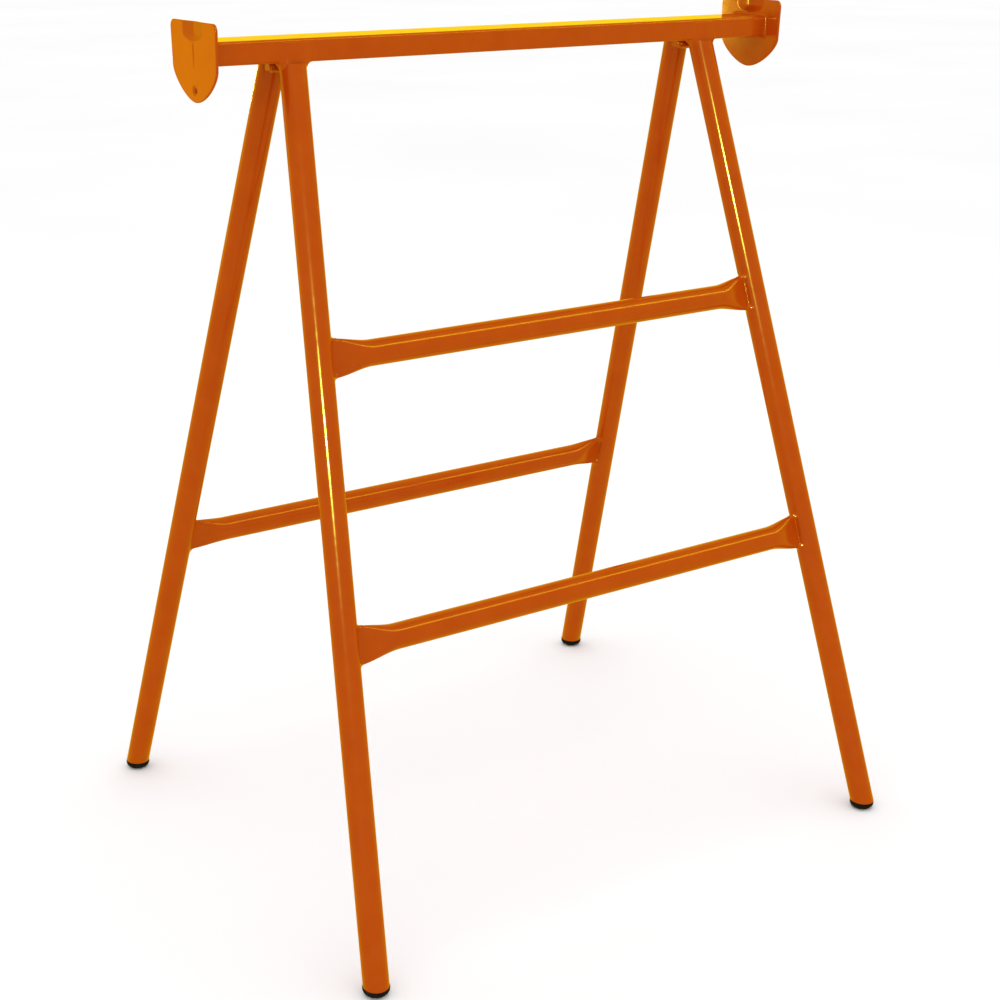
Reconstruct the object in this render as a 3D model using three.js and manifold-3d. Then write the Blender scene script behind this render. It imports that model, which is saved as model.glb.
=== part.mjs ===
// Folding tubular steel sawhorse: a flat rectangular top beam with a stop plate at each end,
// a front frame of two legs and two rungs welded under the beam, and a rear frame of two legs
// and one rung that swings on two small barrel hinges under the middle of the beam.
// Millimetres, +Z up, +X along the beam, -Y to the front. The origin is on the floor, midway
// between the four feet.

import * as THREE from 'three';
import { ConvexGeometry } from 'three/addons/geometries/ConvexGeometry.js';
import { mergeVertices } from 'three/addons/utils/BufferGeometryUtils.js';
import Module from 'manifold-3d';

// ---- driving dimensions ------------------------------------------------------------------

const WORK_HEIGHT = 1000; // floor to the top of the beam
const WELD_GAP = 0.3; // clearance kept between pieces that touch
const CUT_PROUD = 0.01; // how far a cutter stands clear of the face it opens
const TUBE_SIDES = 36;
const MERGE_DISTANCE = 1e-4; // points nearer than this are one point

const BEAM = { length: 786, width: 60, height: 25, wall: 2, corner: 3.5 };

const PLATE = {
  thickness: 3,
  rise: 20, // above the top of the beam
  drop: 64, // tip of the shield below the top of the beam
  topHalfWidth: 54,
  shoulderHalfWidth: 52.5,
  shoulderDrop: 28,
  cheek: { across: 50.5, drop: 42 }, // the point that pulls the curve out below the shoulder
  tipPull: 20, // half-width of the point that rounds the tip
  corner: 8,
  holeDrop: 51.5,
  holeDiameter: 5,
};
const DENT = {
  depth: 2.5,
  halfWidth: 22.5,
  floor: -1.5, // of the pressed face, from the top of the beam
  ridgeFloor: 3, // of the raised face behind it, which stops clear of the beam
  floorHalfWidth: 15,
  floorRise: 2, // from the middle of the floor to its two ends
  cornerRise: 10,
};

const LEG = {
  diameter: 30,
  wall: 1.5,
  topSpacing: 580, // between the two leg axes of a frame, at the underside of the beam
  topOffset: 22, // leg axis from the middle of the beam, at the same height
  lean: THREE.MathUtils.degToRad(17.1), // of each frame from the vertical
  splay: THREE.MathUtils.degToRad(5.05), // of each leg within its frame
};

const RUNG = {
  diameter: 30,
  wall: 1.5,
  flatThickness: 6, // of the pressed ends
  flatLength: 15, // fully pressed, from the leg axis
  taperLength: 50,
  sides: 24,
  rings: 30,
};
const UPPER_RUNG_DROP = 321; // along the frame, from the underside of the beam
const LOWER_RUNG_DROP = 636;

const FOOT = {
  radius: 15.6,
  height: 10,
  flatRadius: 6.5, // of the sole, on the floor
  curveHeight: 7.5, // from the sole up to the full radius
  curveSteps: 6,
  stemLength: 24, // inside the leg
  stemRoot: 2, // where the stem joins the shoe, below its top
  sides: 32,
};

const HINGE = {
  barrelRadius: 6,
  pinRadius: 3,
  pinClearance: 0.08,
  fixedWidth: 10,
  movingWidth: 8.7,
  leafThickness: 9,
  headRadius: 4.5,
  headHeight: 2,
};

// ---- derived dimensions ------------------------------------------------------------------

const UNDERSIDE = WORK_HEIGHT - BEAM.height;
const LEG_RADIUS = LEG.diameter / 2;
const LEG_BORE = LEG_RADIUS - LEG.wall;
const LEG_FALL = Math.cos(LEG.lean) * Math.cos(LEG.splay); // height lost per mm of leg
const LEG_RUN = (UNDERSIDE - FOOT.height) / LEG_FALL; // from the underside to the top of a foot
const PIVOT_HEIGHT = UNDERSIDE - HINGE.barrelRadius - WELD_GAP;
const FRONT = -1;
const REAR = 1;
const SIDES = [
  { name: 'left', sign: -1 },
  { name: 'right', sign: 1 },
];

// ---- materials ---------------------------------------------------------------------------

const orangePaint = new THREE.MeshStandardMaterial({
  color: 0xd96a08,
  roughness: 0.3,
  metalness: 0.1,
  flatShading: true,
});
const blackRubber = new THREE.MeshStandardMaterial({
  color: 0x151515,
  roughness: 0.8,
  metalness: 0,
  flatShading: true,
});

// ---- solid helpers -----------------------------------------------------------------------

const wasm = await Module();
wasm.setup();

function toSolid(geometry, matrix = new THREE.Matrix4()) {
  const bare = geometry.clone();
  bare.deleteAttribute('normal');
  bare.deleteAttribute('uv');
  bare.applyMatrix4(matrix);
  const merged = mergeVertices(bare, MERGE_DISTANCE);
  const vertProperties = new Float32Array(merged.attributes.position.array);
  const triVerts = new Uint32Array(merged.index.array);
  return new wasm.Manifold(new wasm.Mesh({ numProp: 3, vertProperties, triVerts }));
}

function toGeometry(solid) {
  const mesh = solid.getMesh();
  const geometry = new THREE.BufferGeometry();
  geometry.setAttribute('position', new THREE.BufferAttribute(mesh.vertProperties, mesh.numProp));
  geometry.setIndex(new THREE.BufferAttribute(mesh.triVerts, 1));
  geometry.computeVertexNormals();
  return geometry;
}

function namedMesh(name, geometry, material) {
  const mesh = new THREE.Mesh(geometry, material);
  mesh.name = name;
  return mesh;
}

const turn = (x, y, z) => new THREE.Matrix4().makeRotationFromEuler(new THREE.Euler(x, y, z));
const shift = (x, y, z) => new THREE.Matrix4().makeTranslation(x, y, z);

// A cylinder lying along X.
function rodAlongX(radius, length) {
  return new THREE.CylinderGeometry(radius, radius, length, TUBE_SIDES).rotateZ(Math.PI / 2);
}

// A cylinder from z = top down to z = -below.
function rodAlongZ(radius, top, below) {
  const rod = new THREE.CylinderGeometry(radius, radius, top + below, TUBE_SIDES);
  return rod.rotateX(Math.PI / 2).translate(0, 0, (top - below) / 2);
}

// ---- top beam ----------------------------------------------------------------------------

function roundedRectangle(outline, width, height, radius) {
  const x = width / 2;
  const y = height / 2;
  outline.moveTo(-x + radius, -y);
  outline.lineTo(x - radius, -y);
  outline.absarc(x - radius, -y + radius, radius, -Math.PI / 2, 0);
  outline.absarc(x - radius, y - radius, radius, 0, Math.PI / 2);
  outline.absarc(-x + radius, y - radius, radius, Math.PI / 2, Math.PI);
  outline.absarc(-x + radius, -y + radius, radius, Math.PI, Math.PI * 1.5);
  return outline;
}

function beamGeometry() {
  const inside = 2 * BEAM.wall;
  const section = roundedRectangle(new THREE.Shape(), BEAM.width, BEAM.height, BEAM.corner);
  const bore = roundedRectangle(
    new THREE.Path(),
    BEAM.width - inside,
    BEAM.height - inside,
    BEAM.corner - BEAM.wall,
  );
  section.holes.push(bore);
  const length = BEAM.length - 2 * WELD_GAP;
  const tube = new THREE.ExtrudeGeometry(section, {
    depth: length,
    bevelEnabled: false,
    curveSegments: 6,
  });
  return tube.translate(0, 0, -length / 2).rotateX(Math.PI / 2).rotateZ(Math.PI / 2);
}

function topBeam() {
  const beam = namedMesh('top_beam', beamGeometry(), orangePaint);
  beam.position.z = WORK_HEIGHT - BEAM.height / 2;
  return beam;
}

// ---- end plates --------------------------------------------------------------------------

// The shield outline: x across the plate, y up, measured from the top of the beam.
function shieldOutline() {
  const { rise, drop, cheek, tipPull, shoulderHalfWidth: shoulder, shoulderDrop, corner } = PLATE;
  const cornerX = PLATE.topHalfWidth - corner;
  const outline = new THREE.Shape();
  outline.moveTo(0, -drop);
  outline.bezierCurveTo(tipPull, -drop, cheek.across, -cheek.drop, shoulder, -shoulderDrop);
  outline.absarc(cornerX, rise - corner, corner, 0, Math.PI / 2);
  outline.absarc(-cornerX, rise - corner, corner, Math.PI / 2, Math.PI);
  outline.lineTo(-shoulder, -shoulderDrop);
  outline.bezierCurveTo(-cheek.across, -cheek.drop, -tipPull, -drop, 0, -drop);
  return outline;
}

// The wedge that is pressed into the top middle of a plate, pointing along +z. Its deepest
// line runs down the middle, from above the plate to level with the top of the beam.
function dentWedge() {
  const above = PLATE.rise * 1.5;
  const { floor, floorRise, cornerRise, floorHalfWidth, halfWidth, depth } = DENT;
  const points = [
    new THREE.Vector3(0, floor, 0),
    new THREE.Vector3(0, floor + cornerRise / 2, depth),
    new THREE.Vector3(0, above, depth),
  ];
  for (const side of [-1, 1]) {
    points.push(new THREE.Vector3(side * floorHalfWidth, floor + floorRise, 0));
    points.push(new THREE.Vector3(side * halfWidth, floor + cornerRise, 0));
    points.push(new THREE.Vector3(side * halfWidth, above, 0));
  }
  return new ConvexGeometry(points);
}

// The plate lies in its own XY plane: outer face at z = 0, the beam on its +z side.
function plateSolid(hasHole) {
  const blank = new THREE.ExtrudeGeometry(shieldOutline(), {
    depth: PLATE.thickness,
    bevelEnabled: false,
    curveSegments: 12,
  });
  const ridgeHeight = PLATE.rise - DENT.ridgeFloor;
  const band = new THREE.BoxGeometry(2 * PLATE.topHalfWidth, ridgeHeight, 4 * PLATE.thickness);
  const kept = toSolid(band, shift(0, DENT.ridgeFloor + ridgeHeight / 2, 0));
  const wedge = dentWedge();
  const ridge = toSolid(wedge, shift(0, 0, PLATE.thickness)).intersect(kept);
  const plate = toSolid(blank).add(ridge).subtract(toSolid(wedge, shift(0, 0, -CUT_PROUD)));
  if (!hasHole) {
    return plate;
  }
  const drill = rodAlongZ(PLATE.holeDiameter / 2, PLATE.thickness * 2, PLATE.thickness);
  return plate.subtract(toSolid(drill, shift(0, -PLATE.holeDrop, 0)));
}

function endPlate(side) {
  const hasHole = side.name === 'left';
  const plate = namedMesh(`end_plate_${side.name}`, toGeometry(plateSolid(hasHole)), orangePaint);
  plate.rotation.set(Math.PI / 2, 0, (-side.sign * Math.PI) / 2, 'ZYX');
  plate.position.set(side.sign * (BEAM.length / 2 + PLATE.thickness), 0, WORK_HEIGHT);
  return plate;
}

// ---- leg frames --------------------------------------------------------------------------

// A frame's group hangs from the underside of the beam with its legs in its own XZ plane.
function frameGroup(row) {
  const group = new THREE.Group();
  group.position.set(0, row * LEG.topOffset, UNDERSIDE);
  group.rotation.x = row * LEG.lean;
  group.updateMatrixWorld(true);
  return group;
}

// Where a leg sits in its frame: its axis meets the underside at the origin and runs down -Z.
function legPlace(side) {
  return shift((side.sign * LEG.topSpacing) / 2, 0, 0).multiply(turn(0, -side.sign * LEG.splay, 0));
}

// Everything between two heights above the floor, in the axes of a leg.
function levelBand(low, high, legToWorld) {
  const breadth = 2 * WORK_HEIGHT;
  const band = new THREE.BoxGeometry(breadth, breadth, high - low);
  band.translate(0, 0, (low + high) / 2);
  return toSolid(band, legToWorld.clone().invert());
}

// A round tube cut level at both ends: just under the beam, and just above its foot.
function legTube(name, legToWorld) {
  const overrun = LEG.diameter;
  const outside = toSolid(rodAlongZ(LEG_RADIUS, overrun, LEG_RUN + overrun));
  const bore = toSolid(rodAlongZ(LEG_BORE, 2 * overrun, LEG_RUN + 2 * overrun));
  const band = levelBand(FOOT.height + WELD_GAP, UNDERSIDE - WELD_GAP, legToWorld);
  return namedMesh(name, toGeometry(outside.subtract(bore).intersect(band)), orangePaint);
}

// ---- rungs -------------------------------------------------------------------------------

// How far the tube is pressed flat at a distance from its end: 1 in the blade, 0 where round.
function pressedAmount(fromEnd) {
  return 1 - THREE.MathUtils.smoothstep(fromEnd, RUNG.flatLength, RUNG.flatLength + RUNG.taperLength);
}

// A round tube along X whose two ends are pressed into thin upright blades. The girth stays
// the same, so each blade is taller than the tube. inset gives the surface of the bore, and
// trim is how far each end stops short of halfLength.
function pressedTube(halfLength, inset, trim) {
  const tube = new THREE.CylinderGeometry(1, 1, 2, RUNG.sides, RUNG.rings);
  const position = tube.attributes.position;
  const round = RUNG.diameter / 2;
  for (let i = 0; i < position.count; i += 1) {
    const along = (halfLength - trim) * Math.sin((position.getY(i) * Math.PI) / 2);
    const pressed = pressedAmount(halfLength - Math.abs(along));
    const halfThickness = THREE.MathUtils.lerp(round, RUNG.flatThickness / 2, pressed);
    const straight = (Math.PI / 2) * (round - halfThickness);
    const across = -position.getX(i);
    const up = position.getZ(i);
    const radius = halfThickness - inset;
    const lift = Math.abs(up) > MERGE_DISTANCE ? Math.sign(up) * straight : 0;
    position.setXYZ(i, along, radius * across, radius * up + lift);
  }
  return tube;
}

function rung(name, drop) {
  const halfLength = LEG.topSpacing / 2 + drop * Math.tan(LEG.splay);
  const place = shift(0, 0, -drop);
  const outside = toSolid(pressedTube(halfLength, 0, LEG_RADIUS / 2), place);
  const bore = toSolid(pressedTube(halfLength, RUNG.wall, 0), place);
  let tube = outside.subtract(bore);
  for (const side of SIDES) {
    tube = tube.subtract(toSolid(rodAlongZ(LEG_RADIUS + WELD_GAP, 0, LEG_RUN), legPlace(side)));
  }
  return namedMesh(name, toGeometry(tube), orangePaint);
}

// ---- rubber feet -------------------------------------------------------------------------

// A round shoe whose side curves in to a small flat sole.
function shoeGeometry() {
  const profile = [new THREE.Vector2(0, 0)];
  const spread = FOOT.radius - FOOT.flatRadius;
  for (let step = 0; step <= FOOT.curveSteps; step += 1) {
    const angle = ((Math.PI / 2) * step) / FOOT.curveSteps;
    const radius = FOOT.flatRadius + spread * Math.sin(angle);
    profile.push(new THREE.Vector2(radius, FOOT.curveHeight * (1 - Math.cos(angle))));
  }
  profile.push(new THREE.Vector2(FOOT.radius, FOOT.height));
  profile.push(new THREE.Vector2(0, FOOT.height));
  return new THREE.LatheGeometry(profile, FOOT.sides).rotateX(Math.PI / 2);
}

// A level shoe on the floor, with a stem that follows the leg into its bore.
function foot(name, legToWorld) {
  const top = new THREE.Vector3(0, 0, -LEG_RUN).applyMatrix4(legToWorld);
  const shoe = toSolid(shoeGeometry().translate(top.x, top.y, 0), legToWorld.clone().invert());
  const stem = toSolid(rodAlongZ(LEG_BORE - WELD_GAP, FOOT.stemLength - LEG_RUN, LEG_RUN + FOOT.height));
  const band = levelBand(FOOT.height - FOOT.stemRoot, WORK_HEIGHT, legToWorld);
  return namedMesh(name, toGeometry(shoe.add(stem.intersect(band))), blackRubber);
}

function legFrame(rowName, row, rungs) {
  const frame = frameGroup(row);
  for (const side of SIDES) {
    const leg = new THREE.Group();
    leg.applyMatrix4(legPlace(side));
    const legToWorld = frame.matrixWorld.clone().multiply(legPlace(side));
    leg.add(legTube(`${rowName}_leg_${side.name}`, legToWorld));
    leg.add(foot(`${rowName}_foot_${side.name}`, legToWorld));
    frame.add(leg);
  }
  for (const [name, drop] of Object.entries(rungs)) {
    frame.add(rung(name, drop));
  }
  return frame;
}

// ---- hinges ------------------------------------------------------------------------------

function knuckle(width, leaf) {
  const barrel = toSolid(rodAlongX(HINGE.barrelRadius, width));
  const bore = toSolid(rodAlongX(HINGE.pinRadius + HINGE.pinClearance, width * 2));
  return barrel.add(leaf).subtract(bore);
}

// The middle knuckle's leaf goes straight up to the beam.
function fixedKnuckle() {
  const reach = UNDERSIDE - WELD_GAP - PIVOT_HEIGHT;
  const leaf = new THREE.BoxGeometry(HINGE.fixedWidth, HINGE.leafThickness, reach);
  return knuckle(HINGE.fixedWidth, toSolid(leaf.translate(0, 0, reach / 2)));
}

// A moving knuckle's leaf goes level to the rear leg, and is cut to the round of its tube.
function movingKnuckle(legToKnuckle) {
  const reach = LEG.topOffset - LEG_RADIUS / 2;
  const leaf = new THREE.BoxGeometry(HINGE.movingWidth, reach, HINGE.leafThickness);
  const leg = toSolid(rodAlongZ(LEG_RADIUS + WELD_GAP, LEG.diameter, LEG.diameter * 3), legToKnuckle);
  return knuckle(HINGE.movingWidth, toSolid(leaf.translate(0, reach / 2, 0))).subtract(leg);
}

function pinGeometry() {
  const stack = HINGE.fixedWidth / 2 + HINGE.movingWidth + 2 * WELD_GAP;
  const half = stack + HINGE.headHeight;
  const profile = [
    new THREE.Vector2(0, -half),
    new THREE.Vector2(HINGE.headRadius, -half),
    new THREE.Vector2(HINGE.headRadius, -stack),
    new THREE.Vector2(HINGE.pinRadius, -stack),
    new THREE.Vector2(HINGE.pinRadius, stack),
    new THREE.Vector2(HINGE.headRadius, stack),
    new THREE.Vector2(HINGE.headRadius, half),
    new THREE.Vector2(0, half),
  ];
  return new THREE.LatheGeometry(profile, TUBE_SIDES).rotateZ(Math.PI / 2);
}

function hinge(side, rearFrame) {
  const group = new THREE.Group();
  const run = UNDERSIDE - PIVOT_HEIGHT;
  const legX = LEG.topSpacing / 2 + run * Math.tan(LEG.splay);
  group.position.set(side.sign * legX, 0, PIVOT_HEIGHT);
  group.updateMatrixWorld(true);
  const legToWorld = rearFrame.matrixWorld.clone().multiply(legPlace(side));
  const legToHinge = group.matrixWorld.clone().invert().multiply(legToWorld);
  group.add(namedMesh(`hinge_knuckle_fixed_${side.name}`, toGeometry(fixedKnuckle()), orangePaint));
  const offset = (HINGE.fixedWidth + HINGE.movingWidth) / 2 + WELD_GAP;
  for (const [place, direction] of [['outer', side.sign], ['inner', -side.sign]]) {
    const x = direction * offset;
    const solid = movingKnuckle(shift(-x, 0, 0).multiply(legToHinge));
    const moving = namedMesh(`hinge_knuckle_${place}_${side.name}`, toGeometry(solid), orangePaint);
    moving.position.x = x;
    group.add(moving);
  }
  group.add(namedMesh(`hinge_pin_${side.name}`, pinGeometry(), orangePaint));
  return group;
}

// ---- the sawhorse ------------------------------------------------------------------------

function sawhorse() {
  const model = new THREE.Group();
  const frontFrame = legFrame('front', FRONT, {
    front_rung_upper: UPPER_RUNG_DROP,
    front_rung_lower: LOWER_RUNG_DROP,
  });
  const rearFrame = legFrame('rear', REAR, { rear_rung: LOWER_RUNG_DROP });
  model.add(topBeam(), frontFrame, rearFrame);
  for (const side of SIDES) {
    model.add(endPlate(side));
    model.add(hinge(side, rearFrame));
  }
  return model;
}

export default sawhorse();
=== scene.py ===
import itertools
import math

import bpy
import numpy as np
from mathutils import Matrix, Vector


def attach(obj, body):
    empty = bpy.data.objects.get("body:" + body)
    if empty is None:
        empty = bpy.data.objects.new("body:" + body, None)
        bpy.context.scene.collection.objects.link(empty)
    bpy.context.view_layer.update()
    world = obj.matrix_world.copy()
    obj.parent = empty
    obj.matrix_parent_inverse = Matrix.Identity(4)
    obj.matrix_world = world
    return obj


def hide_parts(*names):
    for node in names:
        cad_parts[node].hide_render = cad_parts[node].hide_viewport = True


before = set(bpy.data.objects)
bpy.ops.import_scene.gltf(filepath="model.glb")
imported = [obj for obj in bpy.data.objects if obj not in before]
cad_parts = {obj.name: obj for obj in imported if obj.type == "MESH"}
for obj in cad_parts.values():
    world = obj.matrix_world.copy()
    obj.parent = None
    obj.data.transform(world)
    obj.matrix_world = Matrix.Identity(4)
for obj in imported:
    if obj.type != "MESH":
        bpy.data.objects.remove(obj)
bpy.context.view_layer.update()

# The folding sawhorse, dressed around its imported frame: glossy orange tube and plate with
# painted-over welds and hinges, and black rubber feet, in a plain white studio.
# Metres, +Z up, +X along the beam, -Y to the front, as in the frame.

MM = 0.001
FIXED = "fixed_frame"
REAR = "rear_frame"

# ---- the CAD's driving dimensions, in millimetres --------------------------------------------

WORK_HEIGHT = 1000
BEAM = {"length": 786, "width": 60, "height": 25, "corner": 3.5}
PLATE = {
    "thickness": 3,
    "rise": 20,
    "drop": 64,
    "top_half_width": 54,
    "shoulder": (52.5, -28),
    "cheek": (50.5, -42),
    "tip_pull": 20,
    "corner": 8,
    "hole_drop": 51.5,
    "hole_diameter": 5,
}
HOLED_PLATE = "left"
DENT = {
    "depth": 2.5,
    "half_width": 22.5,
    "floor": -1.5,  # of the pressed face, from the top of the beam
    "ridge_floor": 3,  # of the raised face behind it
    "corner_rise": 10,
}
LEG = {
    "diameter": 30,
    "wall": 1.5,
    "top_spacing": 580,
    "top_offset": 22,
    "lean": math.radians(17.1),
    "splay": math.radians(5.05),
}
RUNG = {"diameter": 30, "flat_thickness": 6, "flat_length": 15, "taper_length": 50}
RUNG_DROPS = {"front_rung_upper": 321, "front_rung_lower": 636, "rear_rung": 636}
FOOT = {"radius": 15.6, "height": 10, "flat_radius": 6.5, "curve_height": 7.5}
HINGE = {
    "barrel_radius": 6,
    "pin_radius": 3,
    "pin_clearance": 0.08,
    "fixed_width": 10,
    "moving_width": 8.7,
    "leaf_thickness": 9,
    "head_radius": 4.5,
    "head_height": 2,
}
GAP = 0.3
UNDERSIDE = WORK_HEIGHT - BEAM["height"]
LEG_RADIUS = LEG["diameter"] / 2
LEG_BORE = LEG_RADIUS - LEG["wall"]
LEG_FALL = math.cos(LEG["lean"]) * math.cos(LEG["splay"])
LEG_RUN = (UNDERSIDE - FOOT["height"]) / LEG_FALL
PIVOT_HEIGHT = UNDERSIDE - HINGE["barrel_radius"] - GAP
SIDES = {"left": -1, "right": 1}
ROWS = {"front": (-1, FIXED), "rear": (1, REAR)}

# ---- details that the CAD leaves out, in millimetres ------------------------------------------

RIM_RADIUS = 0.9  # of the rounding all round a plate
HOLE_EDGE = {"width": 0.5, "depth": 0.4}  # of the softened edge of the hole
DISH = {"depth": 0.9, "reach": 3.5}  # of the sheet that is drawn in round the hole
CREST = {"round": 1.4, "crispness": 0.75}  # of the V in a plate; at 1 its sides are straight
SEAM = {  # the fine crease below the V; its ends are heights from the top of the beam
    "start": 0,
    "end": -30,
    "fade_in": 4,
    "fade_out": 14,
    "width": 0.9,
    "depth": 0.45,
}
LEG_LIP = 0.5  # radius of the rounding at a leg's lower end
FOOT_GAP = 0.05  # between a foot and the leg that stands on it
FOOT_EDGE = 0.8  # radius of the rounding round the top of a foot
BLADE_SINK = 3  # how far the end of a rung goes into the leg
LEAF = {"round": 0.8, "blend": 2, "sink": 1}  # of a hinge; sink is how far it goes into the leg
PIN_DOME = (  # (radius, drop from the crown) of the low domed head of a pin
    (0, 0),
    (1.6, 0.12),
    (3, 0.5),
    (4.1, 1.1),
    (HINGE["head_radius"], 1.7),
)

WELD_SINK = 0.12  # how far the base of a weld lies below the surfaces it joins
RIPPLE = {"height": 0.18, "pitch": 3.6}  # the fine scales along a bead
DRIFT = {"height": 0.12, "length": 5}  # the slow change in its size
PLATE_WELD = 6
HINGE_WELD = 3.5
RUNG_WELD = {
    "middle": 2,
    "corner": 8,
    "full_at": 0.45,  # where the corner's size is reached, as a share of the blade's height
    "fade": 0.12,
}
BEAM_WELD = {
    "under": 10,
    "front": 9,
    "behind": 3,
    "spread": 1.6,  # how much further it runs along the beam's underside than down the leg
    "rise_start": -6,  # where the fillet under the beam starts to turn into the front one
    "fade": 8,
}
RAMP = {"low": -12, "high": 10, "round": 8}  # heights from the underside of the beam

# ---- how finely the pieces are meshed, in millimetres and counts ------------------------------

TUBE_POINTS = 96  # round a leg, a rung or a foot
PIN_POINTS = 64
ROUND_STEPS = {"beam": 8, "plate_rim": 4, "leg_lip": 4, "foot_edge": 6}
OUTLINE_STEPS = {"curve": 40, "side": 16, "corner": 10, "top": 39}
STRAIGHT_RINGS = 7  # along the plain part of a leg or a rung
BEAM_RINGS = 9
FACE_RINGS = 56  # over one face of a plate
FLARE_RINGS = 44  # over one pressed end of a rung
FOOT_RINGS = 20  # up the curved side of a foot
CELL = {"plate_weld": 0.7, "rung_weld": 0.7, "beam_weld": 0.8, "hinge_weld": 0.4, "knuckle": 0.3}
REACH = {  # half-sizes of the boxes that these fields are meshed in
    "rung_weld": (16, 18, 36),
    "beam_weld": (38, 34, 26),
    "hinge_weld": (7, 10, 5),
    "fixed_knuckle": (7, 8, 8),
    "moving_knuckle": (6, 13, 8),
}
ENDLESS = 200  # half the length of a box that something else cuts short
SHARP_ANGLE = math.radians(40)
FIELD_SHARP_ANGLE = math.radians(75)

# ---- places -----------------------------------------------------------------------------------


def shift(x, y, z):
    return Matrix.Translation((x, y, z))


def turn(angle, axis):
    return Matrix.Rotation(angle, 4, axis)


def frame_place(row):
    """A leg frame's own axes: legs in its XZ plane, hanging from the underside of the beam."""
    return shift(0, row * LEG["top_offset"], UNDERSIDE) @ turn(row * LEG["lean"], "X")


def leg_place(row, side):
    """A leg's own axes: its axis meets the underside at the origin and runs down -Z."""
    in_frame = shift(side * LEG["top_spacing"] / 2, 0, 0) @ turn(-side * LEG["splay"], "Y")
    return frame_place(row) @ in_frame


def rung_half_length(drop):
    return LEG["top_spacing"] / 2 + drop * math.tan(LEG["splay"])


def hinge_centre(side):
    run = UNDERSIDE - PIVOT_HEIGHT
    return side * (LEG["top_spacing"] / 2 + run * math.tan(LEG["splay"])), 0, PIVOT_HEIGHT


# ---- mesh helpers -----------------------------------------------------------------------------


def add_piece(name, points, faces, place, body, slot, replaced=(), sharp=SHARP_ANGLE):
    """A mesh that rides on a body. Its points are in millimetres in the axes of place."""
    mesh = bpy.data.meshes.new(name)
    mesh.from_pydata([Vector(p) for p in points], [], faces)
    mesh.transform(Matrix.Scale(MM, 4) @ place)
    mesh.validate()
    mesh.shade_smooth()
    mesh.set_sharp_from_angle(angle=sharp)
    mesh.materials.append(FINISHES[slot])
    piece = bpy.data.objects.new(name, mesh)
    bpy.context.scene.collection.objects.link(piece)
    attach(piece, body)
    if replaced:
        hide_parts(*replaced)
    return piece


def flatten_big_faces(piece):
    """Lets a wide flat face keep its true normal where a narrow rounded edge meets it."""
    piece.modifiers.new("face_weighted_normals", "WEIGHTED_NORMAL").keep_sharp = True


def loop_faces(rings, count, closed):
    """Quads between neighbouring rings of count points; closed joins the last ring to the first."""
    faces = []
    for ring in range(rings if closed else rings - 1):
        here = ring * count
        after = ((ring + 1) % rings) * count
        for i in range(count):
            j = (i + 1) % count
            faces.append((here + i, here + j, after + j, after + i))
    return faces


def cap_faces(count, total):
    """The two faces that close a row of rings of count points, with total points in all."""
    return [tuple(range(count - 1, -1, -1)), tuple(range(total - count, total))]


def circle(radius, z, count):
    step = 2 * math.pi / count
    return [(radius * math.cos(i * step), radius * math.sin(i * step), z) for i in range(count)]


def lathe(profile, count):
    """A closed solid turned about Z from (radius, z) pairs that run from one pole to the other."""
    points = [(0, 0, profile[0][1])]
    for radius, z in profile[1:-1]:
        points += circle(radius, z, count)
    points.append((0, 0, profile[-1][1]))
    rings = len(profile) - 2
    faces = [tuple(i + 1 for i in quad) for quad in loop_faces(rings, count, False)]
    last = 1 + (rings - 1) * count
    for i in range(count):
        j = (i + 1) % count
        faces.append((0, 1 + j, 1 + i))
        faces.append((len(points) - 1, last + i, last + j))
    return points, faces


def arc(centre, radius, start, end, steps):
    """Points on a circle in a plane, with angles in degrees."""
    angles = np.radians(np.linspace(start, end, steps + 1))
    return [(centre[0] + radius * math.cos(a), centre[1] + radius * math.sin(a)) for a in angles]


# ---- shapes given as distance fields ----------------------------------------------------------
# Each field takes an array of points in millimetres and gives the distance outside a shape.


def in_axes(points, place):
    """The points as seen from the axes of place."""
    inverse = np.array(place.inverted())
    return points @ inverse[:3, :3].T + inverse[:3, 3]


def smooth_union(a, b, blend):
    """Two fields joined, with the corner between them filled where they are within blend."""
    overlap = np.clip(1 - np.abs(a - b) / blend, 0, 1)
    return np.minimum(a, b) - overlap**2 * blend / 4


def rod_field(points, place, radius, along="z"):
    """An endless rod along one axis of place."""
    local = in_axes(points, place)
    across = [i for i in range(3) if i != "xyz".index(along)]
    return np.hypot(local[:, across[0]], local[:, across[1]]) - radius


def box_field(points, place, half_sizes, round_radius):
    """A box with rounded edges, centred on place."""
    local = np.abs(in_axes(points, place)) - (np.array(half_sizes) - round_radius)
    outside = np.linalg.norm(np.maximum(local, 0), axis=1)
    inside = np.minimum(local.max(axis=1), 0)
    return outside + inside - round_radius


def beam_field(points):
    half = (BEAM["length"] / 2, BEAM["width"] / 2, BEAM["height"] / 2)
    return box_field(points, shift(0, 0, WORK_HEIGHT - half[2]), half, BEAM["corner"])


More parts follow.
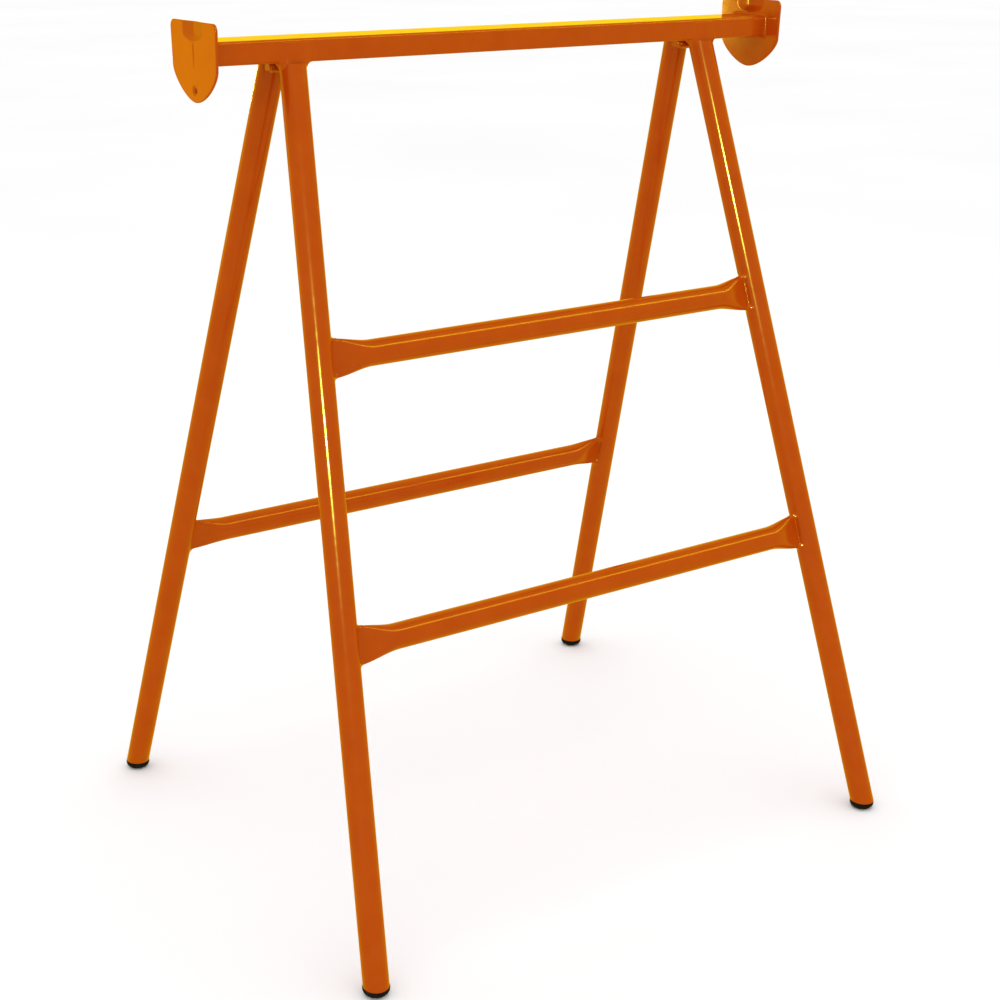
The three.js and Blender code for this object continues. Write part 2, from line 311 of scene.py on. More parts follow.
def surface_net(field, low, pitch):
    """The closed mesh on which a gridded field is zero: one vertex in each cell that it crosses."""
    size = np.array(field.shape) - 1
    total = np.zeros((*size, 3))
    hits = np.zeros(size)
    corners = list(itertools.product((0, 1), repeat=3))
    for a, b in itertools.combinations(corners, 2):
        if sum(abs(i - j) for i, j in zip(a, b)) != 1:
            continue
        at_a = field[tuple(slice(i, i + n) for i, n in zip(a, size))]
        at_b = field[tuple(slice(i, i + n) for i, n in zip(b, size))]
        crossed = (at_a < 0) != (at_b < 0)
        share = np.where(crossed, at_a / np.where(crossed, at_a - at_b, 1), 0)
        edge = np.array(b) - np.array(a)
        total += crossed[..., None] * (np.array(a) + share[..., None] * edge)
        hits += crossed
    cells = np.argwhere(hits > 0)
    number = np.full(size, -1)
    number[tuple(cells.T)] = np.arange(len(cells))
    used = tuple(cells.T)
    points = (cells + total[used] / hits[used][:, None]) * pitch + low
    faces = []
    for axis in range(3):
        u, v = (axis + 1) % 3, (axis + 2) % 3
        lower = np.moveaxis(field, axis, 0)[:-1]
        upper = np.moveaxis(field, axis, 0)[1:]
        changed = np.moveaxis((lower < 0) != (upper < 0), 0, axis)
        starts_inside = np.moveaxis(lower < 0, 0, axis)
        for cell in np.argwhere(changed):
            around = []
            for du, dv in ((-1, -1), (0, -1), (0, 0), (-1, 0)):
                neighbour = cell.copy()
                neighbour[u] += du
                neighbour[v] += dv
                around.append(int(number[tuple(neighbour)]))
            faces.append(around if starts_inside[tuple(cell)] else around[::-1])
    return points, faces


def add_field_piece(name, field, centre, reach, pitch, body, slot, replaced=()):
    """Meshes a field inside a box of half-size reach about centre."""
    low = np.array(centre) - np.array(reach)
    counts = np.ceil(2 * np.array(reach) / pitch).astype(int) + 1
    axes = [low[i] + pitch * np.arange(counts[i]) for i in range(3)]
    grid = np.stack(np.meshgrid(*axes, indexing="ij"), axis=-1).reshape(-1, 3)
    values = field(grid).reshape(tuple(counts))
    edge = np.ones(values.shape, bool)
    edge[1:-1, 1:-1, 1:-1] = False
    values[edge] = np.maximum(values[edge], pitch / 2)
    points, faces = surface_net(values, low, pitch)
    add_piece(name, points, faces, Matrix(), body, slot, replaced, FIELD_SHARP_ANGLE)


def weld_field(a, b, blend, travel):
    """A rippled fillet in the corner between two fields; travel is the way along the seam."""
    overlap = np.clip(1 - np.abs(a - b) / blend, 0, 1)
    ripple = RIPPLE["height"] * np.sin(2 * math.pi * travel / RIPPLE["pitch"])
    drift = DRIFT["height"] * np.sin(travel / DRIFT["length"])
    bead = np.minimum(a, b) - overlap**2 * (blend / 4 + ripple + drift)
    near_seam = np.maximum(a, b) - np.max(blend)
    return np.maximum(bead + WELD_SINK, near_seam)


# ---- materials --------------------------------------------------------------------------------

NOISE_RANGE = (0.3, 0.7)  # where nearly all of a noise texture's values lie


def noise_node(nodes, links, scale, detail):
    coordinates = nodes.new("ShaderNodeTexCoord")
    noise = nodes.new("ShaderNodeTexNoise")
    noise.inputs["Scale"].default_value = scale
    noise.inputs["Detail"].default_value = detail
    links.new(coordinates.outputs["Object"], noise.inputs["Vector"])
    return noise


def range_node(nodes, links, source, low, high):
    stretch = nodes.new("ShaderNodeMapRange")
    stretch.inputs["From Min"].default_value = NOISE_RANGE[0]
    stretch.inputs["From Max"].default_value = NOISE_RANGE[1]
    stretch.inputs["To Min"].default_value = low
    stretch.inputs["To Max"].default_value = high
    links.new(source, stretch.inputs["Value"])
    return stretch.outputs["Result"]


def colour_ramp(nodes, links, source, stops):
    ramp = nodes.new("ShaderNodeValToRGB")
    ramp.color_ramp.elements[0].position = stops[0][0]
    ramp.color_ramp.elements[0].color = (*stops[0][1], 1)
    ramp.color_ramp.elements[1].position = stops[-1][0]
    ramp.color_ramp.elements[1].color = (*stops[-1][1], 1)
    for position, colour in stops[1:-1]:
        ramp.color_ramp.elements.new(position).color = (*colour, 1)
    links.new(source, ramp.inputs["Fac"])
    return ramp.outputs["Color"]


def bump_node(nodes, links, height, strength, distance, below=None):
    bump = nodes.new("ShaderNodeBump")
    bump.inputs["Strength"].default_value = strength
    bump.inputs["Distance"].default_value = distance
    links.new(height, bump.inputs["Height"])
    if below is not None:
        links.new(below, bump.inputs["Normal"])
    return bump.outputs["Normal"]


def new_material(name):
    material = bpy.data.materials.new(name)
    material.use_nodes = True
    nodes = material.node_tree.nodes
    return material, nodes, material.node_tree.links, nodes["Principled BSDF"]


def orange_enamel():
    """Glossy enamel: faint mottling of the colour, orange peel, and slow waves from spraying."""
    material, nodes, links, shader = new_material("orange_enamel")
    mottle = noise_node(nodes, links, scale=30, detail=4)
    peel = noise_node(nodes, links, scale=420, detail=1)
    waves = noise_node(nodes, links, scale=45, detail=1)
    smears = noise_node(nodes, links, scale=70, detail=3)
    shades = [(0.3, (0.43, 0.042, 0.0)), (0.5, (0.448, 0.047, 0.0)), (0.7, (0.462, 0.053, 0.0))]
    links.new(colour_ramp(nodes, links, mottle.outputs["Fac"], shades), shader.inputs["Base Color"])
    gloss = range_node(nodes, links, smears.outputs["Fac"], low=0.13, high=0.17)
    links.new(gloss, shader.inputs["Roughness"])
    wavy = bump_node(nodes, links, waves.outputs["Fac"], strength=0.25, distance=0.0004)
    pebbled = bump_node(
        nodes, links, peel.outputs["Fac"], strength=0.25, distance=0.00004, below=wavy
    )
    links.new(pebbled, shader.inputs["Normal"])
    return material


def moulded_rubber():
    """Moulded rubber: fine grain, with pale dust in patches."""
    material, nodes, links, shader = new_material("moulded_rubber")
    dust = noise_node(nodes, links, scale=140, detail=6)
    grain = noise_node(nodes, links, scale=1500, detail=2)
    clean, worn, dusty = (0.003, 0.004, 0.006), (0.007, 0.008, 0.011), (0.03, 0.03, 0.03)
    shades = [(0.35, clean), (0.62, worn), (0.8, dusty)]
    links.new(colour_ramp(nodes, links, dust.outputs["Fac"], shades), shader.inputs["Base Color"])
    dullness = range_node(nodes, links, dust.outputs["Fac"], low=0.5, high=0.75)
    links.new(dullness, shader.inputs["Roughness"])
    grained = bump_node(nodes, links, grain.outputs["Fac"], strength=0.25, distance=0.0001)
    links.new(grained, shader.inputs["Normal"])
    shader.inputs["Specular IOR Level"].default_value = 0.05
    return material


def floor_paint():
    """The studio floor: matt white, with the faintest unevenness."""
    material, nodes, links, shader = new_material("studio_white")
    patches = noise_node(nodes, links, scale=0.7, detail=3)
    shades = [(0.3, (0.9, 0.9, 0.9)), (0.7, (0.93, 0.93, 0.93))]
    white = colour_ramp(nodes, links, patches.outputs["Fac"], shades)
    links.new(white, shader.inputs["Base Color"])
    shader.inputs["Roughness"].default_value = 0.9
    shader.inputs["Specular IOR Level"].default_value = 0.0
    return material


PAINT = "orange_paint"
RUBBER = "black_rubber"
FINISHES = {PAINT: orange_enamel(), RUBBER: moulded_rubber()}

# ---- the beam and its end plates --------------------------------------------------------------


def build_beam():
    """Rectangular tube with rounded corners, closed at its ends by the plates."""
    y = BEAM["width"] / 2 - BEAM["corner"]
    z = BEAM["height"] / 2 - BEAM["corner"]
    section = []
    for quarter, corner in enumerate(((y, z), (-y, z), (-y, -z), (y, -z))):
        start = 90 * quarter
        section += arc(corner, BEAM["corner"], start, start + 90, ROUND_STEPS["beam"])
    half = BEAM["length"] / 2 - GAP
    stations = np.linspace(-half, half, BEAM_RINGS)
    points = [(x, *p) for x in stations for p in section]
    count = len(section)
    faces = loop_faces(len(stations), count, False) + cap_faces(count, len(points))
    place = shift(0, 0, WORK_HEIGHT - BEAM["height"] / 2)
    piece = add_piece("beam_tube", points, faces, place, FIXED, PAINT, ["top_beam"])
    flatten_big_faces(piece)


def bezier(a, b, c, d, steps):
    """Points on a cubic curve from a to d."""
    t = np.linspace(0, 1, steps + 1)[:, None]
    a, b, c, d = (np.array(p, float) for p in (a, b, c, d))
    return (1 - t) ** 3 * a + 3 * t * (1 - t) ** 2 * b + 3 * t**2 * (1 - t) * c + t**3 * d


def shield_outline():
    """An end plate's outline, counterclockwise: across the plate, and up from the beam's top."""
    across, down = PLATE["shoulder"]
    corner = PLATE["corner"]
    centre = (PLATE["top_half_width"] - corner, PLATE["rise"] - corner)
    tip = (0, -PLATE["drop"])
    pull = (PLATE["tip_pull"], -PLATE["drop"])
    side_end = (centre[0] + corner, centre[1])
    top_start = (centre[0], PLATE["rise"])
    top_end = (0, PLATE["rise"])
    curve = bezier(tip, pull, PLATE["cheek"], (across, down), OUTLINE_STEPS["curve"])
    straight = np.linspace((across, down), side_end, OUTLINE_STEPS["side"] + 1)[1:-1]
    rounded = arc(centre, corner, 0, 90, OUTLINE_STEPS["corner"])
    top = np.linspace(top_start, top_end, OUTLINE_STEPS["top"] + 1)[1:]
    half = np.vstack([curve, straight, rounded, top])
    mirrored = half[::-1][1:-1] * (-1, 1)
    return np.vstack([half, mirrored])


def offset_inwards(outline, distance):
    """The outline, drawn in from a counterclockwise one."""
    tangent = np.roll(outline, -1, axis=0) - np.roll(outline, 1, axis=0)
    normal = np.stack([-tangent[:, 1], tangent[:, 0]], axis=1)
    normal /= np.linalg.norm(normal, axis=1)[:, None]
    return outline + normal * distance


def smoothstep(x):
    x = np.clip(x, 0, 1)
    return x * x * (3 - 2 * x)


def dent_depth(across, up, floor):
    """How far the V pressed into the top middle of a plate moves a point of the sheet."""
    height = np.clip((up - floor) / DENT["corner_rise"], 0, 1)
    least = 0.001  # where the V closes, so that nothing is divided by 0
    half_width = np.maximum(DENT["half_width"] * np.sqrt(1 - (1 - height) ** 2), least)
    from_crest = np.hypot(across, CREST["round"]) - CREST["round"]
    flank = np.clip(1 - from_crest / half_width, 0, 1)
    softened = CREST["crispness"] * flank + (1 - CREST["crispness"]) * smoothstep(flank)
    return DENT["depth"] * softened * smoothstep(height)


def seam_depth(across, up):
    """A fine crease that runs down the middle of the pressed face, below the V."""
    begun = smoothstep((SEAM["start"] - up) / SEAM["fade_in"])
    left = smoothstep((up - SEAM["end"]) / SEAM["fade_out"])
    return SEAM["depth"] * begun * left * np.exp(-((across / SEAM["width"]) ** 2))


def dish_depth(across, up):
    """How far the sheet is drawn in round the hole in a plate."""
    from_edge = np.hypot(across, up + PLATE["hole_drop"]) - PLATE["hole_diameter"] / 2
    return DISH["depth"] * smoothstep(1 - from_edge / DISH["reach"])


def plate_rings(outline, has_hole):
    """Flat rings with their depths, from the hole out, round the rim, and in again at the back.
    A plate that has no hole is drawn round the place where the other one has its hole."""
    middle = np.array([0, -PLATE["hole_drop"]])
    hole = PLATE["hole_diameter"] / 2
    direction = outline - middle
    direction /= np.linalg.norm(direction, axis=1)[:, None]
    inner = middle + direction * (hole + HOLE_EDGE["width"])
    face_edge = offset_inwards(outline, RIM_RADIUS)
    crowding = 0.8  # below 1, rings are closer together towards the rim
    front = []
    for share in np.linspace(0, 1, FACE_RINGS) ** crowding:
        front.append((inner + (face_edge - inner) * share, 0.0))
    for angle in np.radians(np.linspace(0, 90, ROUND_STEPS["plate_rim"] + 1)[1:]):
        ring = offset_inwards(outline, RIM_RADIUS * (1 - math.sin(angle)))
        front.append((ring, RIM_RADIUS * (1 - math.cos(angle))))
    thickness = PLATE["thickness"]
    rings = front + [(ring, thickness - depth) for ring, depth in front[::-1]]
    if has_hole:
        for depth in (thickness - HOLE_EDGE["depth"], HOLE_EDGE["depth"]):
            rings.append((middle + direction * hole, depth))
    return rings


def press_rings(rings, has_hole):
    """The points of the rings once the V, the crease and the dished hole are pressed in."""
    points = []
    for ring, depth in rings:
        across, up = ring[:, 0], ring[:, 1]
        outside = depth < PLATE["thickness"] / 2
        floor = DENT["floor"] if outside else DENT["ridge_floor"]
        moved = depth + dent_depth(across, up, floor)
        if outside:
            moved = moved + seam_depth(across, up)
        if has_hole:
            moved = moved + dish_depth(across, up)
        points += list(zip(across, up, moved))
    return points


def build_plate(side_name, side):
    """A pressed plate with a rounded rim. Its depths run inwards from its outer face."""
    outline = shield_outline()
    has_hole = side_name == HOLED_PLATE
    rings = plate_rings(outline, has_hole)
    points = press_rings(rings, has_hole)
    faces = loop_faces(len(rings), len(outline), has_hole)
    if not has_hole:
        faces += cap_faces(len(outline), len(points))
    place = (
        shift(side * (BEAM["length"] / 2 + PLATE["thickness"]), 0, WORK_HEIGHT)
        @ turn(-side * math.pi / 2, "Z")
        @ turn(math.pi / 2, "X")
    )
    name = f"pressed_plate_{side_name}"
    piece = add_piece(name, points, faces, place, FIXED, PAINT, [f"end_plate_{side_name}"])
    flatten_big_faces(piece)


def weld_plate(side_name, side):
    """The seam all round the end of the beam, against its plate."""
    plate_x = side * BEAM["length"] / 2
    half_thickness = PLATE["thickness"] / 2
    plate_centre = shift(plate_x + side * half_thickness, 0, WORK_HEIGHT)
    plate_half = (half_thickness, ENDLESS, ENDLESS)

    def field(points):
        beam = beam_field(points)
        plate = box_field(points, plate_centre, plate_half, 0)
        past_middle = side * (points[:, 0] - plate_x) - half_thickness
        bead = weld_field(beam, plate, PLATE_WELD, points[:, 1] + points[:, 2])
        return np.maximum(bead, past_middle)

    centre = (plate_x - side * PLATE_WELD / 2, 0, WORK_HEIGHT - BEAM["height"] / 2)
    clearance = 2  # between the bead and the sides of the box it is meshed in
    margin = PLATE_WELD + clearance
    reach = (PLATE_WELD, BEAM["width"] / 2 + margin, BEAM["height"] / 2 + margin)
    name = f"plate_weld_{side_name}"
    add_field_piece(name, field, centre, reach, CELL["plate_weld"], FIXED, PAINT)


# ---- legs, rungs and feet ---------------------------------------------------------------------


def level_ring(place, radius, height, count):
    """Where a tube along the Z axis of place meets the level plane at a height, in its axes."""
    to_axes = place.inverted()
    normal = to_axes.to_3x3() @ Vector((0, 0, 1))
    reach = (to_axes @ Vector((0, 0, height))).dot(normal)
    ring = circle(radius, 0, count)
    return [(x, y, (reach - x * normal.x - y * normal.y) / normal.z) for x, y, _ in ring]


def build_leg(row_name, side_name):
    """A tube cut level under the beam and above its foot, with a softened lip at the foot."""
    row, body = ROWS[row_name]
    place = leg_place(row, SIDES[side_name])
    top = UNDERSIDE - GAP
    bottom = FOOT["height"] + FOOT_GAP
    level_part = 60  # the length at each end that has no square rings
    rings = [level_ring(place, LEG_RADIUS, top, TUBE_POINTS)]
    for run in np.linspace(level_part, LEG_RUN - level_part, STRAIGHT_RINGS):
        rings.append(circle(LEG_RADIUS, -run, TUBE_POINTS))
    lip_centre = (LEG_RADIUS - LEG_LIP, LEG_LIP)
    for across, up in arc(lip_centre, LEG_LIP, 0, -90, ROUND_STEPS["leg_lip"]):
        rings.append(level_ring(place, across, bottom + up, TUBE_POINTS))
    for height in (bottom, top):
        rings.append(level_ring(place, LEG_BORE, height, TUBE_POINTS))
    points = [point for ring in rings for point in ring]
    faces = [face[::-1] for face in loop_faces(len(rings), TUBE_POINTS, True)]
    name = f"{row_name}_leg_{side_name}"
    add_piece(f"{name}_tube", points, faces, place, body, PAINT, [name])


def stadium(half_thickness, count):
    """A closed section with the girth of the round tube: two arcs joined by upright flats."""
    radius = RUNG["diameter"] / 2
    straight = math.pi / 2 * (radius - half_thickness)
    quarter = math.pi / 2 * half_thickness
    girth = 2 * math.pi * radius
    section = []
    for i in range(count):
        run = girth * i / count
        flip = 1
        if run >= girth / 2:
            run -= girth / 2
            flip = -1
        if run < straight:
            y, z = half_thickness, run
        elif run < straight + 2 * quarter:
            angle = (run - straight) / half_thickness
            y = half_thickness * math.cos(angle)
            z = straight + half_thickness * math.sin(angle)
        else:
            y, z = -half_thickness, straight - (run - straight - 2 * quarter)
        section.append((flip * y, flip * z))
    return section


def build_rung(name, row_name, drop):
    """A tube whose ends are pressed into upright blades and run just inside the legs."""
    row, body = ROWS[row_name]
    half_length = rung_half_length(drop)
    end = half_length - LEG_RADIUS + BLADE_SINK
    bend = half_length - RUNG["flat_length"] - RUNG["taper_length"]
    flare = np.linspace(bend, end, FLARE_RINGS)
    straight = np.linspace(-bend, bend, STRAIGHT_RINGS)[1:-1]
    stations = np.concatenate([-flare[::-1], straight, flare])
    points = []
    for x in stations:
        from_end = half_length - abs(x)
        pressed = 1 - smoothstep((from_end - RUNG["flat_length"]) / RUNG["taper_length"])
        thickness = LEG_RADIUS + (RUNG["flat_thickness"] / 2 - LEG_RADIUS) * pressed
        points += [(x, y, z) for y, z in stadium(float(thickness), TUBE_POINTS)]
    faces = loop_faces(len(stations), TUBE_POINTS, False) + cap_faces(TUBE_POINTS, len(points))
    place = frame_place(row) @ shift(0, 0, -drop)
    add_piece(f"{name}_tube", points, faces, place, body, PAINT, [name])


def weld_rung(name, row_name, side_name, drop):
    """The seam where a blade meets its leg, thin along the blade and thick at its two corners."""
    row, body = ROWS[row_name]
    side = SIDES[side_name]
    half_length = rung_half_length(drop)
    flat = RUNG["flat_thickness"]
    blade_height = math.pi / 2 * (RUNG["diameter"] - flat) + flat
    blade_half = (30, flat / 2, blade_height / 2)
    blade_place = frame_place(row) @ shift(side * (half_length - blade_half[0]), 0, -drop)
    leg = leg_place(row, side)
    full = RUNG_WELD["full_at"] * blade_height
    fade = RUNG_WELD["fade"] * blade_height

    def field(points):
        tube = rod_field(points, leg, LEG_RADIUS)
        blade = box_field(points, blade_place, blade_half, flat / 2)
        height = in_axes(points, blade_place)[:, 2]
        corner = smoothstep((np.abs(height) - full) / fade + 1)
        blend = RUNG_WELD["middle"] + (RUNG_WELD["corner"] - RUNG_WELD["middle"]) * corner
        return weld_field(tube, blade, blend, height)

    centre = frame_place(row) @ Vector((side * (half_length - LEG_RADIUS), 0, -drop))
    weld_name = f"{name}_weld_{side_name}"
    add_field_piece(weld_name, field, centre, REACH["rung_weld"], CELL["rung_weld"], body, PAINT)


def weld_front_leg(side_name):
    """The broad fillet under the beam, with a ramp up its front face where the leg stands proud."""
    leg = leg_place(-1, SIDES[side_name])
    front = BEAM["width"] / 2
    run = RAMP["high"] - RAMP["low"]
    rise = LEG["top_offset"] + LEG_RADIUS / math.cos(LEG["lean"]) - front

    def field(points):
        height = points[:, 2] - UNDERSIDE
        tube = rod_field(points, leg, LEG_RADIUS)
        proud = -points[:, 1] - front
        ramp = (proud * run + (height - RAMP["high"]) * rise) / math.hypot(run, rise)
        cap = -smooth_union(-tube, -ramp, RAMP["round"])
        above = smoothstep((height - BEAM_WELD["rise_start"]) / BEAM_WELD["fade"])
        behind = smoothstep((points[:, 1] + front / 2) / BEAM_WELD["fade"])
        blend = BEAM_WELD["under"] + (BEAM_WELD["front"] - BEAM_WELD["under"]) * above
        blend = blend + (BEAM_WELD["behind"] - blend) * behind
        spread = BEAM_WELD["spread"] + (1 - BEAM_WELD["spread"]) * above
        local = in_axes(points, leg)
        travel = np.arctan2(local[:, 1], local[:, 0]) * LEG_RADIUS
        return weld_field(beam_field(points), cap / spread, blend, travel)

    below = 4  # of the box's middle, because most of the fillet is under the beam
    centre = leg @ Vector((0, 0, -below))
    name = f"beam_weld_{side_name}"
    add_field_piece(name, field, centre, REACH["beam_weld"], CELL["beam_weld"], FIXED, PAINT)


def build_foot(row_name, side_name):
    """A level rubber shoe with a rolled top edge and a side that curves in to its sole."""
    row, body = ROWS[row_name]
    leg = leg_place(row, SIDES[side_name])
    middle = leg @ Vector((0, 0, -LEG_RUN))
    bulge = FOOT["radius"] - FOOT["flat_radius"]
    profile = [(0, 0)]
    for angle in np.linspace(0, math.pi / 2, FOOT_RINGS):
        across = FOOT["flat_radius"] + bulge * math.sin(angle)
        profile.append((across, FOOT["curve_height"] * (1 - math.cos(angle))))
    edge_centre = (FOOT["radius"] - FOOT_EDGE, FOOT["height"] - FOOT_EDGE)
    profile += arc(edge_centre, FOOT_EDGE, 0, 90, ROUND_STEPS["foot_edge"])
    hidden = LEG_BORE - 1  # a ring inside the leg, which keeps the rim's faces narrow
    profile += [(hidden, FOOT["height"]), (0, FOOT["height"])]
    points, faces = lathe(profile, TUBE_POINTS)
    name = f"{row_name}_foot_{side_name}"
    place = shift(middle.x, middle.y, 0)
    add_piece(f"{name}_shoe", points, faces, place, body, RUBBER, [name])


# ---- hinges -----------------------------------------------------------------------------------


def knuckle_field(points, centre, width, leaf_centre, leaf_half, cut):
    """A barrel with its leaf, bored for the pin. The field cut is positive where the leaf ends."""
    place = shift(*centre)
    barrel = rod_field(points, place, HINGE["barrel_radius"], "x")
    leaf = box_field(points, place @ shift(*leaf_centre), leaf_half, LEAF["round"])
    bore = rod_field(points, place, HINGE["pin_radius"] + HINGE["pin_clearance"], "x")
    ends = np.abs(points[:, 0] - centre[0]) - width / 2
    solid = smooth_union(barrel, leaf, LEAF["blend"])
    return np.maximum.reduce([solid, -bore, ends, cut])


def build_fixed_knuckle(side_name, side):
    """The middle barrel of a hinge, with its leaf up to the underside of the beam."""
    centre = hinge_centre(side)
    leaf_top = UNDERSIDE - GAP
    half_rise = (leaf_top - PIVOT_HEIGHT) / 2
    leaf_half = (ENDLESS, HINGE["leaf_thickness"] / 2, half_rise + LEAF["blend"])

    def field(points):
        cut = points[:, 2] - leaf_top
        width = HINGE["fixed_width"]
        return knuckle_field(points, centre, width, (0, 0, half_rise), leaf_half, cut)

    node = f"hinge_knuckle_fixed_{side_name}"
    name = f"{node}_barrel"
    reach = REACH["fixed_knuckle"]
    add_field_piece(name, field, centre, reach, CELL["knuckle"], FIXED, PAINT, [node])


def build_moving_knuckles(side_name, side):
    """The two barrels beside the fixed one, with their leaves back to the rear leg."""
    centre = hinge_centre(side)
    leg = leg_place(1, side)
    width = HINGE["moving_width"]
    offset = (HINGE["fixed_width"] + width) / 2 + GAP
    half_reach = (LEG["top_offset"] - LEG_RADIUS / 2) / 2
    leaf_half = (ENDLESS, half_reach, HINGE["leaf_thickness"] / 2)
    off_axis = 5  # of the box's middle, towards the leaf
    for place_name, direction in (("outer", side), ("inner", -side)):
        spot = (centre[0] + direction * offset, centre[1], centre[2])

        def field(points, spot=spot):
            cut = LEG_RADIUS - LEAF["sink"] - rod_field(points, leg, 0)
            return knuckle_field(points, spot, width, (0, half_reach, 0), leaf_half, cut)

        node = f"hinge_knuckle_{place_name}_{side_name}"
        name = f"{node}_barrel"
        middle = (spot[0], spot[1] + off_axis, spot[2])
        reach = REACH["moving_knuckle"]
        add_field_piece(name, field, middle, reach, CELL["knuckle"], REAR, PAINT, [node])


def build_pin(side_name, side):
    """A pin with a low domed head at each end."""
    stack = HINGE["fixed_width"] / 2 + HINGE["moving_width"] + 2 * GAP
    half = stack + HINGE["head_height"]
    low_head = [(radius, drop - half) for radius, drop in PIN_DOME]
    low_head.append((HINGE["head_radius"], -stack))
    shank = [(HINGE["pin_radius"], -stack), (HINGE["pin_radius"], stack)]
    high_head = [(radius, -z) for radius, z in low_head[::-1]]
    points, faces = lathe(low_head + shank + high_head, PIN_POINTS)
    place = shift(*hinge_centre(side)) @ turn(math.pi / 2, "Y")
    node = f"hinge_pin_{side_name}"
    add_piece(f"{node}_shank", points, faces, place, FIXED, PAINT, [node])


def weld_fixed_knuckle(side_name, side):
    """The bead between the fixed knuckle and the beam."""
    across = hinge_centre(side)[0]
    half_rise = 4  # of the part of the leaf that the bead runs round
    leaf_half = (HINGE["fixed_width"] / 2, HINGE["leaf_thickness"] / 2, half_rise)
    leaf_place = shift(across, 0, PIVOT_HEIGHT + half_rise)
    leaf_round = 0.5

    def field(points):
        leaf = box_field(points, leaf_place, leaf_half, leaf_round)
        return weld_field(beam_field(points), leaf, HINGE_WELD, points[:, 0] + points[:, 1])

    centre = (across, 0, UNDERSIDE - 1)
    name = f"hinge_weld_fixed_{side_name}"
    add_field_piece(name, field, centre, REACH["hinge_weld"], CELL["hinge_weld"], FIXED, PAINT)


# ---- the sawhorse -----------------------------------------------------------------------------


def build_sawhorse():
    build_beam()
    for side_name, side in SIDES.items():
        build_plate(side_name, side)
        weld_plate(side_name, side)
        weld_front_leg(side_name)
        build_fixed_knuckle(side_name, side)
        build_moving_knuckles(side_name, side)
        weld_fixed_knuckle(side_name, side)
        build_pin(side_name, side)
        for row_name in ROWS:
            build_leg(row_name, side_name)
            build_foot(row_name, side_name)
    for name, drop in RUNG_DROPS.items():
        row_name = name.split("_")[0]
        build_rung(name, row_name, drop)
        for side_name in SIDES:
            weld_rung(name, row_name, side_name, drop)


build_sawhorse()

# ---- the studio, in metres --------------------------------------------------------------------

WATTS_PER_RADIANCE = 4  # an area lamp's power for each square metre at a radiance of 1

CAMERA = {
    "place": (-1.2150, -1.7181, 1.1487),
    "heading": math.radians(33.77),  # from +Y towards +X
    "pitch": math.radians(-19.86),
    "roll": math.radians(0.15),
    "lens_mm": 62.4,
    "sensor_mm": 36,
    "shift": (0.0476, 0.0173),
    "far_clip": 200,
}
FLOOR = {"radius": 60, "points": 64}
WORLD_STRENGTH = 1.08
MIRRORED_COLOUR = (1, 0.7, 0.01)  # of the world, where the paint mirrors it
LAMPS = {
    "overhead": {
        "place": (0, 0.2, 3.2),
        "target": (0, 0, 0.6),
        "size": (2.4, 2.4),
        "radiance": 0.5,
        "colour": (1, 1, 1),
        "shine_only": False,
    },
    "flash": {
        "place": (-1.31, -1.66, 1.16),
        "target": (0, 0, 0.6),
        "size": (0.07, 0.07),
        "radiance": 2600,
        "colour": (0.9, 1, 0.12),
        "shine_only": True,
    },
    "ceiling_strip": {
        "place": (1.1, -0.9, 2.1),
        "target": (1.1, 0, 0.5),
        "size": (5.4, 0.22),
        "radiance": 7,
        "colour": (1, 0.9, 0.02),
        "shine_only": True,
    },
    "far_wall": {
        "place": (3.4, 5.3, 1.5),
        "target": (0, 0, 1.0),
        "size": (2.9, 1.2),
        "radiance": 0.35,
        "colour": (0.9, 0.92, 0.04),
        "shine_only": True,
    },
    "side_panel": {
        "place": (-1.62, 2.58, 0.70),
        "target": (-0.4, 0, 0.97),
        "size": (0.5, 0.8),
        "radiance": 1.0,
        "colour": (1, 0.36, 0),
        "shine_only": True,
    },
    "back_lamp": {
        "place": (-0.21, 0.795, 0.95),
        "target": (0.39, 0, 1.01),
        "size": (0.035, 0.13),
        "radiance": 40,
        "colour": (1, 0.8, 0.06),
        "shine_only": True,
    },
}


def build_camera():
    data = bpy.data.cameras.new("studio_camera")
    data.lens = CAMERA["lens_mm"]
    data.sensor_width = CAMERA["sensor_mm"]
    data.shift_x, data.shift_y = CAMERA["shift"]
    data.clip_end = CAMERA["far_clip"]
    camera = bpy.data.objects.new("studio_camera", data)
    camera.matrix_world = (
        shift(*CAMERA["place"])
        @ turn(-CAMERA["heading"], "Z")
        @ turn(math.pi / 2 + CAMERA["pitch"], "X")
        @ turn(CAMERA["roll"], "Z")
    )
    bpy.context.scene.collection.objects.link(camera)
    bpy.context.scene.camera = camera


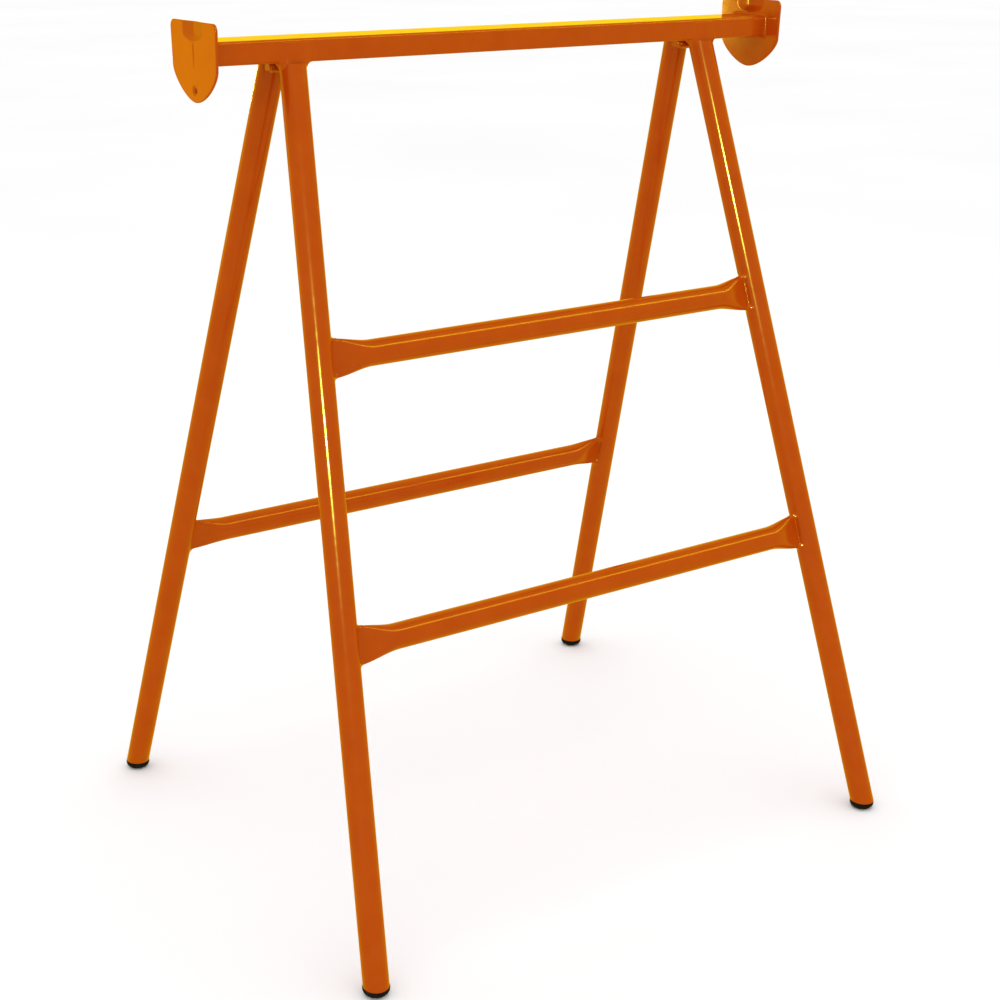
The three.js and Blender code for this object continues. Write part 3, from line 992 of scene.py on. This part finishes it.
def build_floor():
    mesh = bpy.data.meshes.new("studio_floor")
    disc = circle(FLOOR["radius"], 0, FLOOR["points"])
    mesh.from_pydata(disc, [], [tuple(range(FLOOR["points"]))])
    mesh.materials.append(floor_paint())
    floor = bpy.data.objects.new("studio_floor", mesh)
    floor.visible_glossy = False
    bpy.context.scene.collection.objects.link(floor)


def add_area_light(name, place, target, size, radiance, colour, shine_only):
    """A rectangular lamp that shows only in reflections, or one that only lights matt surfaces."""
    data = bpy.data.lights.new(name, "AREA")
    data.shape = "RECTANGLE"
    data.size, data.size_y = size
    data.energy = WATTS_PER_RADIANCE * radiance * size[0] * size[1]
    data.color = colour
    lamp = bpy.data.objects.new(name, data)
    lamp.location = place
    lamp.rotation_euler = (Vector(target) - Vector(place)).to_track_quat("-Z", "Y").to_euler()
    lamp.visible_camera = False
    lamp.visible_diffuse = not shine_only
    lamp.visible_glossy = shine_only
    bpy.context.scene.collection.objects.link(lamp)


def build_world():
    """Even white light all round, which shows as a warm tone where the paint mirrors it."""
    world = bpy.data.worlds.new("studio_world")
    world.use_nodes = True
    nodes = world.node_tree.nodes
    links = world.node_tree.links
    white = nodes["Background"]
    white.inputs["Color"].default_value = (1, 1, 1, 1)
    white.inputs["Strength"].default_value = WORLD_STRENGTH
    warm = nodes.new("ShaderNodeBackground")
    warm.inputs["Color"].default_value = (*MIRRORED_COLOUR, 1)
    path = nodes.new("ShaderNodeLightPath")
    either = nodes.new("ShaderNodeMixShader")
    links.new(path.outputs["Is Glossy Ray"], either.inputs["Fac"])
    links.new(white.outputs["Background"], either.inputs[1])
    links.new(warm.outputs["Background"], either.inputs[2])
    links.new(either.outputs["Shader"], nodes["World Output"].inputs["Surface"])
    world.cycles.sampling_method = "NONE"  # so that every ray to it says what kind it is
    bpy.context.scene.world = world


def build_studio():
    build_camera()
    build_floor()
    build_world()
    for name, lamp in LAMPS.items():
        add_area_light(name, **lamp)


build_studio()
bpy.context.scene.view_settings.view_transform = "Standard"
